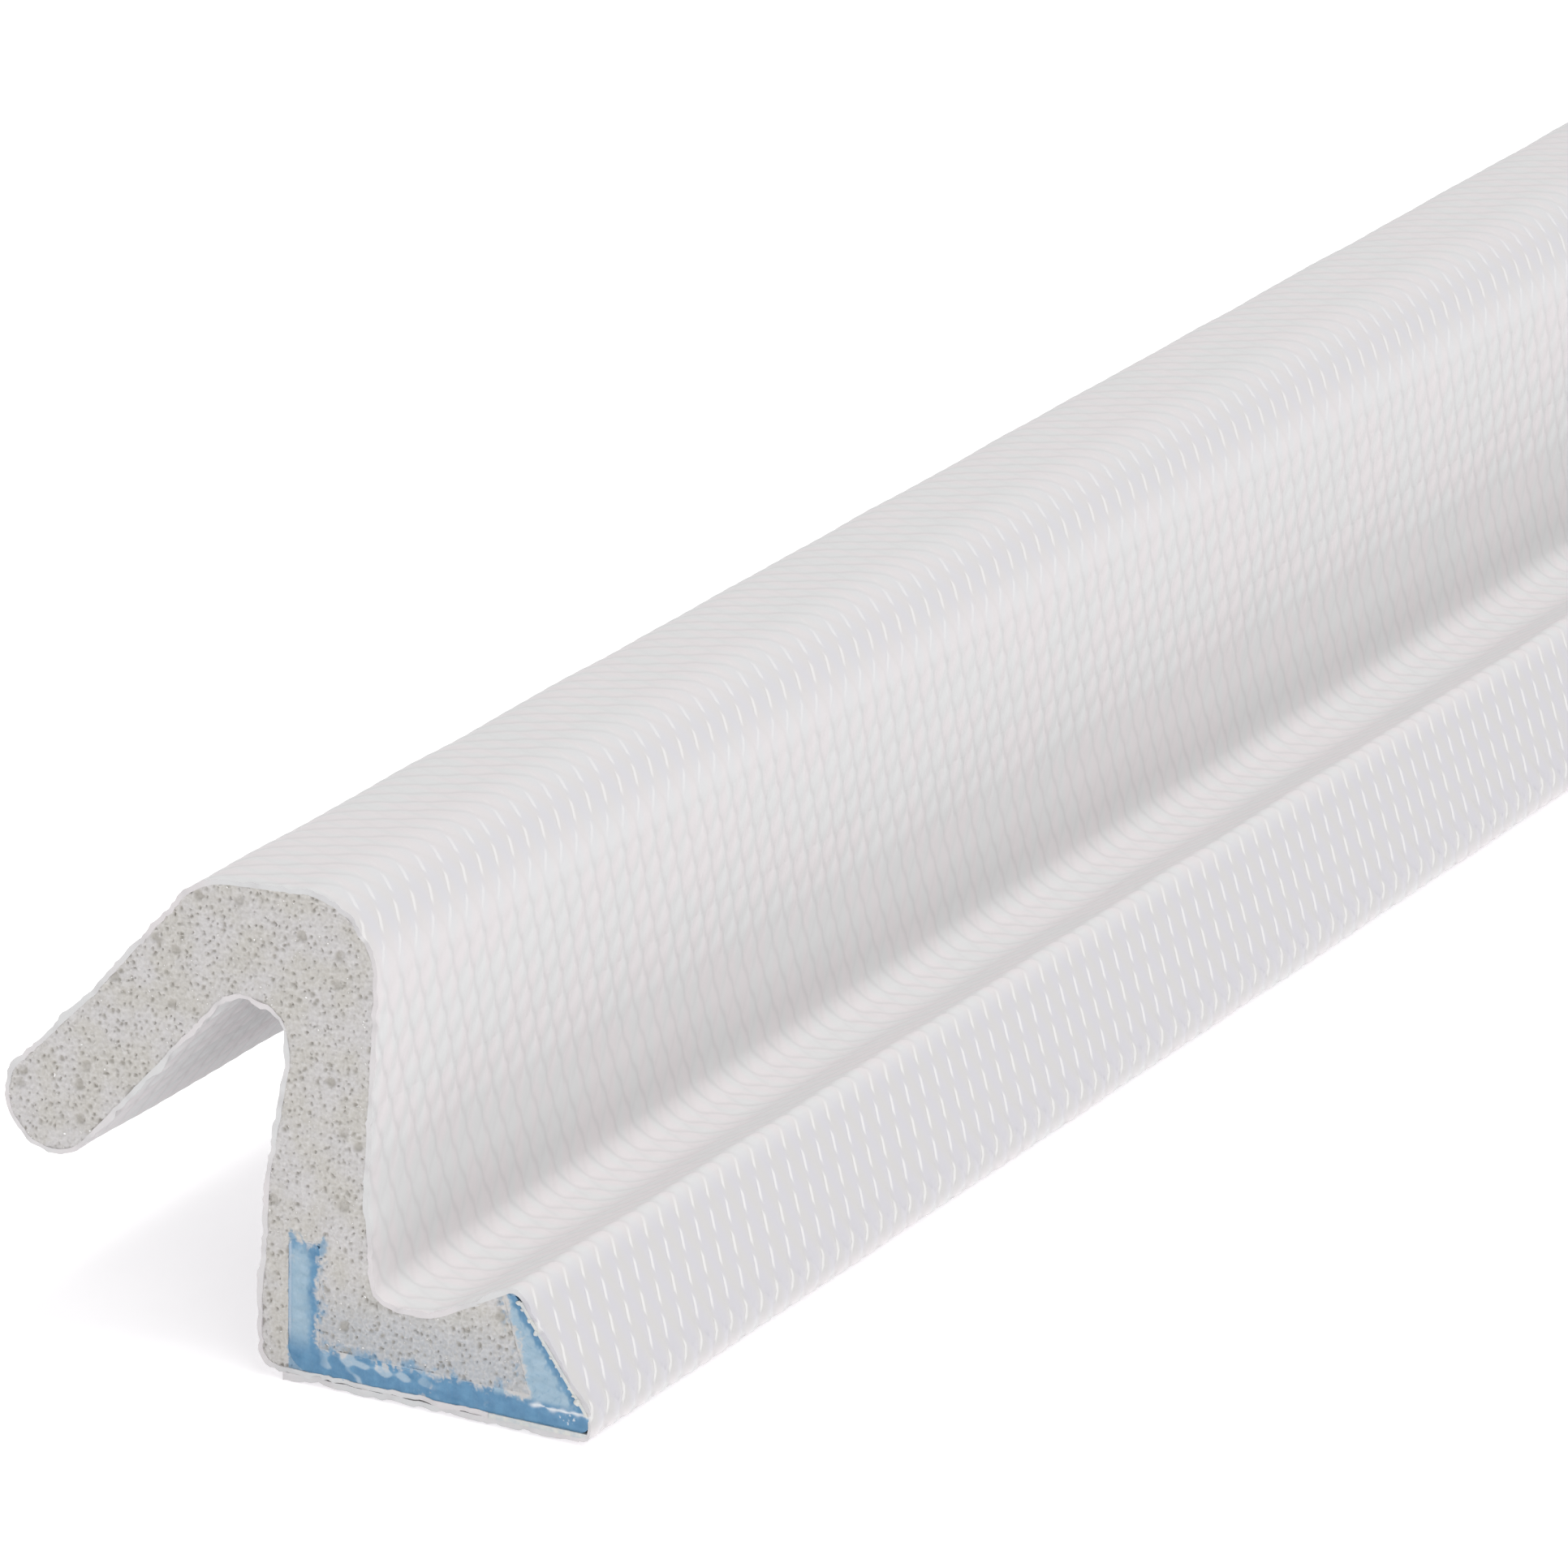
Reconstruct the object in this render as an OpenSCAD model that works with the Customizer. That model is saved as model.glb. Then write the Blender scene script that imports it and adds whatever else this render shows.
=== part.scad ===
// A cut length of foam-cored door seal: a rigid clip-in foot, a flexible upright and a hooked sealing lip.
// The section lies in the XZ plane and runs along Y. The origin is the middle of the foot's underside.
// The foam core and its cover bend at two places, so each is split there into parts that turn as knuckles.

/* [Strip] */
// Length of the cut strip
strip_len = 120; // [60:10:1000]

/* [Cover film] */
// Thickness of the cover film
film_t = 0.15; // [0.1:0.05:0.2]
// Distance from the toe to the edge of the inner flap
inner_flap_edge = 3.5; // [2.5:0.1:5]
// Distance from the heel to the edge of the outer flap
outer_flap_edge = 0.9; // [0.8:0.1:2]
// Thickness of the bond line behind the flank
bond_t = 0.1; // [0.05:0.05:0.15]

/* [Foot] */
// Width of the foot across its underside
foot_w = 11.4; // [11:0.1:12]
// Height of the toe's upright edge
toe_h = 0.95; // [0.9:0.05:1.1]
// Height of the flank's top corner
flank_h = 4.5; // [4.3:0.1:4.7]
// Horizontal run of the slanting flank
flank_run = 2.6; // [2.4:0.1:2.8]
// Height of the groove's floor behind the flank
groove_h = 2.95; // [2.8:0.05:3.1]

/* [Upright] */
// Thickness of the upright at its waist
waist_t = 3.5; // [3.4:0.05:3.7]
// Height of the waist
waist_h = 6.4; // [6.2:0.1:6.6]
// Height of the crest's front corner, before rounding
crest_h = 15.6; // [15.2:0.1:16]
// Rounding of the crest's front corner
crest_r = 2.5; // [2:0.1:2.7]

/* [Lip] */
// How far the lip's tip corner stands out behind the heel
lip_reach = 9.5; // [9:0.1:10]
// Thickness of the lip at its tip
lip_t = 3.4; // [3.2:0.05:3.5]
// Slope of the lip's axis below the horizontal
lip_slope = 47.5; // [46:0.5:49]
// Height of the lip's outer tip corner, before rounding
tip_h = 7.1; // [6.8:0.1:7.4]

/* [Stiffener] */
// Thickness of the base plate
plate_t = 0.85; // [0.7:0.05:0.95]
// Thickness of the leg inside the upright
leg_t = 1.05; // [0.9:0.05:1.1]
// Height of the top of the leg inside the upright
leg_h = 4.45; // [3.5:0.05:4.5]
// Foam and film outside the leg inside the upright
leg_cover = 1.05; // [0.8:0.05:1.2]

/* [Bending places] */
// Radius of the knuckle between foot and upright
lean_r = 1.62; // [1.4:0.02:1.64]
// Radius of the knuckle between crest and lip
flex_r = 1.75; // [1.6:0.05:1.8]
// Clearance between a knuckle and its seat
knuckle_clear = 0.12; // [0.08:0.02:0.16]
// Half of the gap that the film leaves at the lower knuckle
film_gap = 0.45; // [0.4:0.05:0.6]

/* [Hidden] */

heel_x = -foot_w / 2;
toe_x = foot_w / 2;
heel_r = 0.8;
toe_r = 0.45;
flank_x = toe_x - flank_run;

// The upright's back stands this far in from the heel at the waist
waist_in = 0.25;
front_x = heel_x + waist_in + waist_t;

// Centres of the lower and the upper knuckle
lean_c = [front_x - waist_t / 2, waist_h];
flex_c = [heel_x - 1, 13.45];

// The outer flap lies on the floor, the inner flap on it, and the plate on both
flap_floor = film_t;
plate_z = 2 * film_t;
plate_top = plate_z + plate_t;
plate_heel_r = 0.75;
leg_x = heel_x + leg_cover;
leg_tip_r = 0.3;

// The fold between the plate and the flank leg: how far down and in it starts, and its slant
crease_z = plate_top - 0.3;
crease_x = toe_x - 1.95;
crease_slant = 0.2;

// The flank leg and its bond line end below the flank's top corner
flank_leg_top = flank_h - 0.35;
flank_leg_in = 0.5;
flank_bond_top = flank_h - 0.5;

// Where the foot's foam is split, beside the groove
foam_split_x = front_x + 0.25;

// Sectors about the upper knuckle, in degrees from +X: what belongs to the lip, and the gap it swings in
lip_from = 94;
lip_to = 262;
gap_from = 70;
gap_to = 312;
gap_reach = 2.6;

// Larger than the section: for masks that reach past it. overshoot is for cuts just past a side
reach = 40;
overshoot = 1;
arc_step = 12;
knuckle_facets = 72;
least_r = 0.05;

// Unit vector of a 2D vector
function unit(v) = v / norm(v);
// Signed turn in degrees from direction a to direction b
function turn(a, b) = atan2(a.x * b.y - a.y * b.x, a * b);
function rotated(v, t) = [v.x * cos(t) - v.y * sin(t), v.x * sin(t) + v.y * cos(t)];
function flat(v) = [v[0], v[1]];
function at(loop, i) = loop[(i + len(loop)) % len(loop)];
// Direction of the side that leaves corner i
function side(loop, i) = unit(flat(at(loop, i + 1)) - flat(at(loop, i)));

// The corner's points after its rounding, an arc tangent to both sides. A sharp corner has no rounding
function rounded_corner(p, r, a, b) =
    let (
        t = turn(a, b),
        start = p - a * r * tan(abs(t) / 2),
        centre = start + sign(t) * r * [-a.y, a.x],
        steps = max(1, ceil(abs(t) / arc_step))
    )
    [for (k = [0:steps]) centre + rotated(start - centre, t * k / steps)];

function rounded_loop(loop) = [
    for (i = [0:len(loop) - 1])
        each loop[i][2] == 0
            ? [flat(loop[i])]
            : rounded_corner(flat(loop[i]), loop[i][2], side(loop, i - 1), side(loop, i))
];

// The loop moved inwards by d: outward corners get tighter and hollow corners get wider
function inset_loop(loop, d) = [
    for (i = [0:len(loop) - 1])
        let (
            a = side(loop, i - 1),
            b = side(loop, i),
            na = [-a.y, a.x],
            nb = [-b.y, b.x],
            p = flat(loop[i]) + d * (na + nb) / (1 + na * nb),
            r = loop[i][2] - sign(turn(a, b)) * d
        )
        [p.x, p.y, max(r, least_r)]
];

// The lip's tip corners: the end of the lip is square to its axis before rounding
lip_dir = [-cos(lip_slope), -sin(lip_slope)];
tip_outer = [heel_x - lip_reach, tip_h];
tip_inner = tip_outer + lip_t * rotated(lip_dir, 90);

// The section's outer corners, anticlockwise from the heel: x, z and rounding
function outline(floor_z) = [
    // Foot: the underside, the toe and the slanting flank
    [heel_x, floor_z, heel_r],
    [toe_x, floor_z, toe_r],
    [toe_x, toe_h, 0.8],
    [flank_x, flank_h, 0.45],
    // Groove between the flank and the upright
    [flank_x - 2.9, groove_h, 2],
    [front_x + 0.28, groove_h + 0.05, 0.8],
    // Front of the upright, and the crest
    [front_x, waist_h, 6],
    [front_x + 0.43, crest_h, crest_r],
    [heel_x - 2.15, crest_h - 0.45, 2.5],
    // Outside of the lip, and its tip
    [heel_x - 6.05, crest_h - 5, 6],
    [tip_outer.x, tip_outer.y, 1.6],
    [tip_inner.x, tip_inner.y, 1.6],
    // Arch under the lip
    [heel_x - 0.9, 11.7, 1],
    [heel_x + 0.6, 11.35, 0.8],
    [heel_x + 0.95, 10.1, 1.5],
    // Back of the upright and of the foot
    [heel_x + waist_in + 0.02, waist_h, 6],
    [heel_x, 2.2, 4],
];

// The filled section inside the outer surface, moved inwards by d
module section(d = 0, floor_z = 0) polygon(rounded_loop(inset_loop(outline(floor_z), d)));

// The film all round the section
module film(floor_z) {
    difference() {
        section(0, floor_z);
        section(film_t, floor_z);
    }
}

// Everything between two heights
module band(z0, z1) translate([-reach, z0]) square([2 * reach, z1 - z0]);

// Everything between two X positions
module strip(x0, x1) translate([x0, -reach]) square([x1 - x0, 2 * reach]);

// A pie slice about c, from angle a0 to a1
module sector(c, a0, a1, r) {
    steps = ceil((a1 - a0) / arc_step);
    polygon([c, for (k = [0:steps]) c + r * rotated([1, 0], a0 + (a1 - a0) * k / steps)]);
}

module knuckle(c, r) translate(c) circle(r, $fn = knuckle_facets);

module lip_side() sector(flex_c, lip_from, lip_to, reach);

// A 2D section made into a length of strip, centred on the origin
module along_strip() {
    translate([0, strip_len / 2, 0])
        rotate([90, 0, 0])
            linear_extrude(strip_len)
                children();
}

// The stiffener's three parts in section
module plate_section() {
    intersection() {
        polygon(rounded_loop([
            [leg_x, plate_z, plate_heel_r],
            [toe_x + overshoot, plate_z, 0],
            [toe_x + overshoot, crease_z, 0],
            [crease_x, crease_z, 0],
            [crease_x - crease_slant, plate_top, 0],
            [leg_x, plate_top, 0],
        ]));
        section(film_t, 0);
    }
}

module upright_leg_section() {
    polygon(rounded_loop([
        [leg_x, plate_top, 0],
        [leg_x + leg_t, plate_top, 0],
        [leg_x + leg_t, leg_h, leg_tip_r],
        [leg_x, leg_h, leg_tip_r],
    ]));
}

module flank_leg_section() {
    intersection() {
        section(film_t + bond_t, 0);
        polygon([
            [crease_x - crease_slant, plate_top],
            [crease_x, crease_z],
            [toe_x, crease_z],
            [toe_x, flank_leg_top],
            [flank_x - flank_leg_in, flank_leg_top],
        ]);
    }
}

module flank_bond_section() {
    intersection() {
        difference() {
            section(film_t, 0);
            section(film_t + bond_t, 0);
        }
        polygon([
            [crease_x, crease_z],
            [toe_x + overshoot, crease_z],
            [toe_x + overshoot, flank_bond_top],
            [flank_x, flank_bond_top],
        ]);
    }
}

module stiffener_base_plate() color("steelblue") along_strip() plate_section();
module stiffener_upright_leg() color("lightsteelblue") along_strip() upright_leg_section();
module stiffener_flank_leg() color("lightsteelblue") along_strip() flank_leg_section();
module flank_bond() color("aliceblue") along_strip() flank_bond_section();

// The glue line beside the inner flap's edge, between the plate and the outer flap
module flap_bond() {
    color("whitesmoke") along_strip() intersection() {
        section(film_t, 0);
        band(film_t, plate_z);
        strip(toe_x - inner_flap_edge, toe_x);
    }
}

// The foot's foam between two X positions, cut back for the stiffener and for the knuckle's seat
module foot_foam_section(x0, x1) {
    difference() {
        intersection() {
            section(film_t, flap_floor);
            band(plate_z, waist_h);
            strip(x0, x1);
        }
        knuckle(lean_c, lean_r + knuckle_clear);
        plate_section();
        upright_leg_section();
        flank_leg_section();
        flank_bond_section();
    }
}

module foam_heel() color("lightgray") along_strip() foot_foam_section(heel_x, foam_split_x);
module foam_toe() color("lightgray") along_strip() foot_foam_section(foam_split_x, toe_x);

module foam_upright() {
    color("lightgray") along_strip() difference() {
        intersection() {
            section(film_t, flap_floor);
            strip(flex_c.x, reach);
            union() {
                band(waist_h, reach);
                knuckle(lean_c, lean_r);
            }
        }
        knuckle(flex_c, flex_r + knuckle_clear);
        sector(flex_c, lip_to, gap_to, gap_reach);
    }
}

module foam_lip() {
    color("lightgray") along_strip() intersection() {
        section(film_t, flap_floor);
        union() {
            lip_side();
            knuckle(flex_c, flex_r);
        }
    }
}

module cover_outer_flap() {
    color("white") along_strip() intersection() {
        film(0);
        band(0, film_t);
        strip(heel_x + outer_flap_edge, toe_x - toe_r);
    }
}

module cover_inner_flap() {
    color("white") along_strip() intersection() {
        film(flap_floor);
        band(flap_floor, plate_z);
        strip(heel_x + heel_r, toe_x - inner_flap_edge);
    }
}

module cover_foot_front() {
    color("white") along_strip() intersection() {
        film(0);
        band(0, waist_h - film_gap);
        union() {
            strip(toe_x - toe_r, reach);
            intersection() {
                strip(lean_c.x, reach);
                band(plate_top, reach);
            }
        }
    }
}

module cover_foot_back() {
    color("white") along_strip() intersection() {
        film(flap_floor);
        band(flap_floor, waist_h - film_gap);
        strip(heel_x - overshoot, heel_x + heel_r);
    }
}

module cover_upright_front() {
    color("white") along_strip() difference() {
        intersection() {
            film(0);
            band(waist_h + film_gap, reach);
            union() {
                strip(lean_c.x, reach);
                band(flex_c.y, reach);
            }
        }
        sector(flex_c, gap_from, lip_to, reach);
    }
}

module cover_upright_back() {
    color("white") along_strip() difference() {
        intersection() {
            film(0);
            band(waist_h + film_gap, flex_c.y);
            strip(-reach, lean_c.x);
        }
        lip_side();
        sector(flex_c, gap_from, gap_to, gap_reach);
    }
}

module cover_lip() {
    color("white") along_strip() intersection() {
        film(0);
        lip_side();
    }
}

stiffener_base_plate();
stiffener_upright_leg();
stiffener_flank_leg();
flank_bond();
flap_bond();
foam_heel();
foam_toe();
foam_upright();
foam_lip();
cover_outer_flap();
cover_inner_flap();
cover_foot_front();
cover_foot_back();
cover_upright_front();
cover_upright_back();
cover_lip();
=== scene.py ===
"""The looks of a foam-cored, film-clad door seal strip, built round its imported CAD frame.

The section is drawn once, in millimetres, from the sizes that the CAD uses. The cover film, the foam core
and the stiffener are swept or cut from it, so every piece shares the same outline. Y runs along the strip.
"""

import math

import bpy
import numpy as np
from mathutils import Matrix, Vector
from mathutils.geometry import delaunay_2d_cdt


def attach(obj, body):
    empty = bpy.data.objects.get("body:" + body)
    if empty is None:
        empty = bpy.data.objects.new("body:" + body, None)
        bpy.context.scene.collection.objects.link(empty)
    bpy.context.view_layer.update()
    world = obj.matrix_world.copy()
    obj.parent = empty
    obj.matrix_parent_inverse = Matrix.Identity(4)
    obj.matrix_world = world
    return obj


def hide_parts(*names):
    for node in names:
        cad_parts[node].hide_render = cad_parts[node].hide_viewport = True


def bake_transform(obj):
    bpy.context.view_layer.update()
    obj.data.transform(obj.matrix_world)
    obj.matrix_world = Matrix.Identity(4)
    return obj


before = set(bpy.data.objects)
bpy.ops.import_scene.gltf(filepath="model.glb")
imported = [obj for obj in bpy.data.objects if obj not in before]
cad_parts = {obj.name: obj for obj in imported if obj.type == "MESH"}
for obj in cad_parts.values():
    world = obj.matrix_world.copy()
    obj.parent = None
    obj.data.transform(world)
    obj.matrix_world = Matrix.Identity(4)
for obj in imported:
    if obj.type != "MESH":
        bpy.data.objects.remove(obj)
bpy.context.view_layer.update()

MM = 0.001

# ---------------------------------------------------------------- sizes shared with the CAD, in millimetres
STRIP_LEN = 120.0
FILM_T = 0.15
INNER_FLAP_EDGE = 3.5
OUTER_FLAP_EDGE = 0.9
FOOT_W = 11.4
TOE_H = 0.95
FLANK_H = 4.5
FLANK_RUN = 2.6
GROOVE_H = 2.95
WAIST_T = 3.5
WAIST_H = 6.4
CREST_H = 15.6
CREST_R = 2.5
LIP_REACH = 9.5
LIP_T = 3.4
LIP_SLOPE = math.radians(47.5)
TIP_H = 7.1
PLATE_T = 0.85
LEG_T = 1.05
LEG_H = 4.45
LEG_COVER = 1.05
BOND_T = 0.1

WAIST_IN = 0.25
HEEL_X = -FOOT_W / 2
TOE_X = FOOT_W / 2
TOE_R = 0.45
FLANK_X = TOE_X - FLANK_RUN
FRONT_X = HEEL_X + WAIST_IN + WAIST_T
PLATE_Z = 2 * FILM_T
PLATE_TOP = PLATE_Z + PLATE_T
PLATE_HEEL_R = 0.75
LEG_X = HEEL_X + LEG_COVER
LEG_TIP_R = 0.3
CREASE_Z = PLATE_TOP - 0.3
CREASE_X = TOE_X - 1.95
CREASE_SLANT = 0.2
FLANK_LEG_TOP = FLANK_H - 0.35
FLANK_LEG_IN = 0.5
HALF = STRIP_LEN / 2
ROUND_STEP = 3.0  # degrees between the points of a rounded corner of the film

# Where the continuous film and foam change from one piece to the next, each outside the bends
FOOT_TOP = 5.0
WAIST_TOP = 9.0
LIP_ROOT = -8.6

# The film's weave: a staggered lattice of lens-shaped cells between two families of leaning threads
WEAVE_PITCH = 0.95
WEAVE_LEAN_A = 0.41
WEAVE_LEAN_B = 0.60
WEAVE_HIGH = 0.07
FLAP_LIFT = 0.03  # how far the outer flap stands off


# ---------------------------------------------------------------- the section
def unit(v):
    return v / np.linalg.norm(v)


def turned(v, t):
    return np.array([v[0] * math.cos(t) - v[1] * math.sin(t), v[0] * math.sin(t) + v[1] * math.cos(t)])


def outline(floor_z=0.0):
    """The section's outer corners, anticlockwise from the heel: x, z and rounding."""
    lip_dir = np.array([-math.cos(LIP_SLOPE), -math.sin(LIP_SLOPE)])
    tip_outer = np.array([HEEL_X - LIP_REACH, TIP_H])
    tip_inner = tip_outer + LIP_T * turned(lip_dir, math.pi / 2)
    return [
        (HEEL_X, floor_z, 0.8),  # heel
        (TOE_X, floor_z, TOE_R),  # toe
        (TOE_X, TOE_H, 0.8),  # foot of the flank
        (FLANK_X, FLANK_H, 0.45),  # flank's top
        (FLANK_X - 2.9, GROOVE_H, 2),  # groove, toe side
        (FRONT_X + 0.28, GROOVE_H + 0.05, 0.8),  # groove, upright side
        (FRONT_X, WAIST_H, 6),  # front of the waist
        (FRONT_X + 0.43, CREST_H, CREST_R),  # crest's front
        (HEEL_X - 2.15, CREST_H - 0.45, 2.5),  # crest's back
        (HEEL_X - 6.05, CREST_H - 5, 6),  # lip's slight hollow
        (tip_outer[0], tip_outer[1], 1.6),  # lip's tip
        (tip_inner[0], tip_inner[1], 1.6),
        (HEEL_X - 0.9, 11.7, 1),  # arch between the lip and the upright
        (HEEL_X + 0.6, 11.35, 0.8),
        (HEEL_X + 0.95, 10.1, 1.5),
        (HEEL_X + 0.27, WAIST_H, 6),  # back of the waist
        (HEEL_X, 2.2, 4),  # upright's foot
    ]


def inset(loop, d):
    """The loop moved inwards by d."""
    out = []
    for k, (x, z, r) in enumerate(loop):
        p = np.array([x, z])
        a = unit(p - np.array(loop[k - 1][:2]))
        b = unit(np.array(loop[(k + 1) % len(loop)][:2]) - p)
        na, nb = np.array([-a[1], a[0]]), np.array([-b[1], b[0]])
        q = p + d * (na + nb) / (1 + na @ nb)
        turn = math.atan2(a[0] * b[1] - a[1] * b[0], a @ b)
        out.append((q[0], q[1], max(r - math.copysign(d, turn), 0.05) if r else 0))
    return out


def rounded(loop, step=ROUND_STEP):
    """The loop's points, with an arc at each corner that has a rounding."""
    out = []
    for k, (x, z, r) in enumerate(loop):
        p = np.array([x, z])
        if not r:
            out.append(p)
            continue
        a = unit(p - np.array(loop[k - 1][:2]))
        b = unit(np.array(loop[(k + 1) % len(loop)][:2]) - p)
        turn = math.atan2(a[0] * b[1] - a[1] * b[0], a @ b)
        start = p - a * r * math.tan(abs(turn) / 2)
        centre = start + math.copysign(r, turn) * np.array([-a[1], a[0]])
        n = max(1, math.ceil(abs(math.degrees(turn)) / step))
        out += [centre + turned(start - centre, turn * i / n) for i in range(n + 1)]
    return np.array(out)


class Wrap:
    """The outer surface as a path: place and outward normal at each distance s from the heel's bottom."""

    def __init__(self, floor_z=0.0, step=0.02):
        loop = rounded(outline(floor_z))
        loop = np.vstack([loop, loop[:1]])
        along = np.concatenate([[0], np.cumsum(np.linalg.norm(np.diff(loop, axis=0), axis=1))])
        self.total = along[-1]
        self.s = np.arange(0, self.total, step)
        self.p = np.stack([np.interp(self.s, along, loop[:, k]) for k in (0, 1)], 1)
        d = np.roll(self.p, -4, 0) - np.roll(self.p, 4, 0)
        d /= np.linalg.norm(d, axis=1)[:, None]
        self.n = np.stack([d[:, 1], -d[:, 0]], 1)

    def at(self, s):
        q = [np.interp(s, self.s, self.p[:, k], period=self.total) for k in (0, 1)]
        n = np.stack([np.interp(s, self.s, self.n[:, k], period=self.total) for k in (0, 1)], 1)
        return np.stack(q, 1), n / np.linalg.norm(n, axis=1)[:, None]

    def where(self, axis, value, after):
        """The first s past after at which the path crosses x (axis 0) or z (axis 1) = value."""
        v = self.p[:, axis] - value
        hits = np.flatnonzero((v[:-1] * v[1:] <= 0) & (self.s[:-1] > after))
        return float(self.s[hits[0]])


# ---------------------------------------------------------------- patterns
def waves(x, y, size, seed, n=7):
    """Smooth wandering values from about -1 to 1, with features of about that size."""
    r = np.random.default_rng(seed)
    total = np.zeros(np.broadcast(x, y).shape)
    for _ in range(n):
        a = r.uniform(0, 2 * math.pi)
        f = r.uniform(0.6, 1.5) * 2 * math.pi / size
        phase = r.uniform(0, 2 * math.pi)
        total = total + np.sin((x * math.cos(a) + y * math.sin(a)) * f + phase)
    return total / math.sqrt(n) / 1.2


def threads(s, y):
    """The weave's two lattice numbers at distance s round the section and y along the strip.

    A thread of either family lies at each whole number.
    """
    wander = 0.05 * waves(s, y, 9.0, 11)
    a = (y + WEAVE_LEAN_A * s) / WEAVE_PITCH + wander
    b = (y - WEAVE_LEAN_B * s) / WEAVE_PITCH + wander
    return a + 0.045 * np.sin(2 * math.pi * b), b


def weave(s, y):
    """Height of the film's weave, from 0 at the threads to 1 in the middle of a cell."""
    a, b = threads(s, y)
    return ((1 - np.abs(2 * (a % 1) - 1) ** 2.2) * (1 - np.abs(2 * (b % 1) - 1) ** 2.2)) ** 0.8


def worley(x, y, size, seed, bins=257):
    """Distances to the two nearest cell centres, in cells, and the nearest cell's random number."""
    r = np.random.default_rng(seed)
    jx, jy, tone = r.uniform(0, 1, (3, bins, bins))
    gx, gy = np.floor(x / size).astype(int), np.floor(y / size).astype(int)
    f1 = np.full(x.shape, 9.0)
    f2 = np.full(x.shape, 9.0)
    own = np.zeros(x.shape)
    for dx in (-1, 0, 1):
        for dy in (-1, 0, 1):
            cx, cy = gx + dx, gy + dy
            h, k = cx % bins, cy % bins
            d = np.hypot(x / size - cx - jx[h, k], y / size - cy - jy[h, k])
            nearer = d < f1
            f2 = np.where(nearer, f1, np.minimum(f2, d))
            own = np.where(nearer, tone[h, k], own)
            f1 = np.where(nearer, d, f1)
    return f1, f2, own


def smoothstep(lo, hi, v):
    t = np.clip((v - lo) / (hi - lo), 0, 1)
    return t * t * (3 - 2 * t)


# ---------------------------------------------------------------- meshes
def new_mesh(name, points_mm, faces, material, values=None, sharp=50):
    """A smooth-shaded object from points in millimetres, with named values on its points."""
    mesh = bpy.data.meshes.new(name)
    mesh.from_pydata([tuple(p) for p in np.asarray(points_mm) * MM], [], faces)
    mesh.validate()
    mesh.update()
    for key, value in (values or {}).items():
        layer = mesh.attributes.new(key, "FLOAT", "POINT")
        layer.data.foreach_set("value", np.asarray(value, np.float32))
    mesh.polygons.foreach_set("use_smooth", np.ones(len(mesh.polygons), bool))
    mesh.set_sharp_from_angle(angle=math.radians(sharp))
    mesh.materials.append(material)
    piece = bpy.data.objects.new(name, mesh)
    bpy.context.scene.collection.objects.link(piece)
    return piece


def glint_zone_at(p, n):
    """Where the film gets painted glint dashes and a darker, lilac painted shade, 0 to 1: most over the hard
    flank and the crest's front, whose threads face the top light.
    """
    tilt = np.degrees(np.arctan2(n[:, 1], n[:, 0]))
    flank = smoothstep(FLANK_X - 0.1, FLANK_X + 0.5, p[:, 0]) * smoothstep(0.3, 0.7, p[:, 1])
    crest = np.exp(-(((tilt - 42) / 30) ** 2)) * (p[:, 0] < FRONT_X + 1) * smoothstep(12.0, 13.4, p[:, 1])
    return np.maximum(flank, 0.8 * crest)


def film_panel(name, wrap, s0, s1, material, step_s=0.155, step_y=0.15, lift=0.0):
    """A closed piece of film from s0 to s1: a woven outer side, a plain inner side and the cut rims."""
    rows, cols = max(2, round((s1 - s0) / step_s) + 1), round(STRIP_LEN / step_y) + 1
    s, y = np.linspace(s0, s1, rows), np.linspace(-HALF, HALF, cols)
    p, n = wrap.at(s % wrap.total)
    S, Y = np.meshgrid(s, y, indexing="ij")
    # painted light zone: where the film's painted glint dashes and darker painted shade go
    glint_zone = glint_zone_at(p, n)[:, None] + 0 * Y
    toe = smoothstep(TOE_X - 0.7, TOE_X - 0.3, p[:, :1])
    under_lip = (n[:, 1:] < 0) * (p[:, 1:] > TIP_H)
    scallop = np.maximum(0.3, np.maximum(1.7 * toe, 1.1 * under_lip))
    high = WEAVE_HIGH * scallop * (weave(S, Y) - 0.6) + 0.02 * waves(S, Y, 6.0, 5) + lift
    rag = 0.045 * (waves(s, 0 * s, 1.3, 6) + 0.6 * waves(s, 0 * s, 0.5, 7))
    high = high + rag[:, None] * np.exp(-(HALF - np.abs(Y)) / 0.5)
    Y = Y * (1 - 0.02 / HALF * (1 + waves(s, 0 * s, 0.6, 8))[:, None] * (np.abs(Y) == HALF))
    outer = np.stack([p[:, :1] + n[:, :1] * high, Y, p[:, 1:] + n[:, 1:] * high], -1).reshape(-1, 3)
    under = p - n * (FILM_T - np.minimum(rag, 0)[:, None])
    inner = np.array([[q[0], e * k, q[1]] for q, e in zip(under, Y[:, -1]) for k in (-1, 1)])
    k = np.arange(rows * cols).reshape(rows, cols)
    m = rows * cols + np.arange(rows * 2).reshape(rows, 2)
    faces = np.stack([k[:-1, :-1], k[1:, :-1], k[1:, 1:], k[:-1, 1:]], -1).reshape(-1, 4).tolist()
    for r in range(rows - 1):
        faces.append([m[r, 0], m[r, 1], m[r + 1, 1], m[r + 1, 0]])
        faces.append([k[r, 0], m[r, 0], m[r + 1, 0], k[r + 1, 0]])
        faces.append([k[r, -1], k[r + 1, -1], m[r + 1, 1], m[r, 1]])
    faces.append([*k[0].tolist(), m[0, 1], m[0, 0]])
    faces.append([*k[-1][::-1].tolist(), m[-1, 0], m[-1, 1]])
    a, b = threads(S, Y)
    named = {"thread_a": a, "thread_b": b, "glint_zone": glint_zone}
    named = {key: np.concatenate([v.ravel(), v[:, [0, -1]].ravel()]) for key, v in named.items()}
    return new_mesh(name, np.vstack([outer, inner]), faces, material, named)


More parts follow.
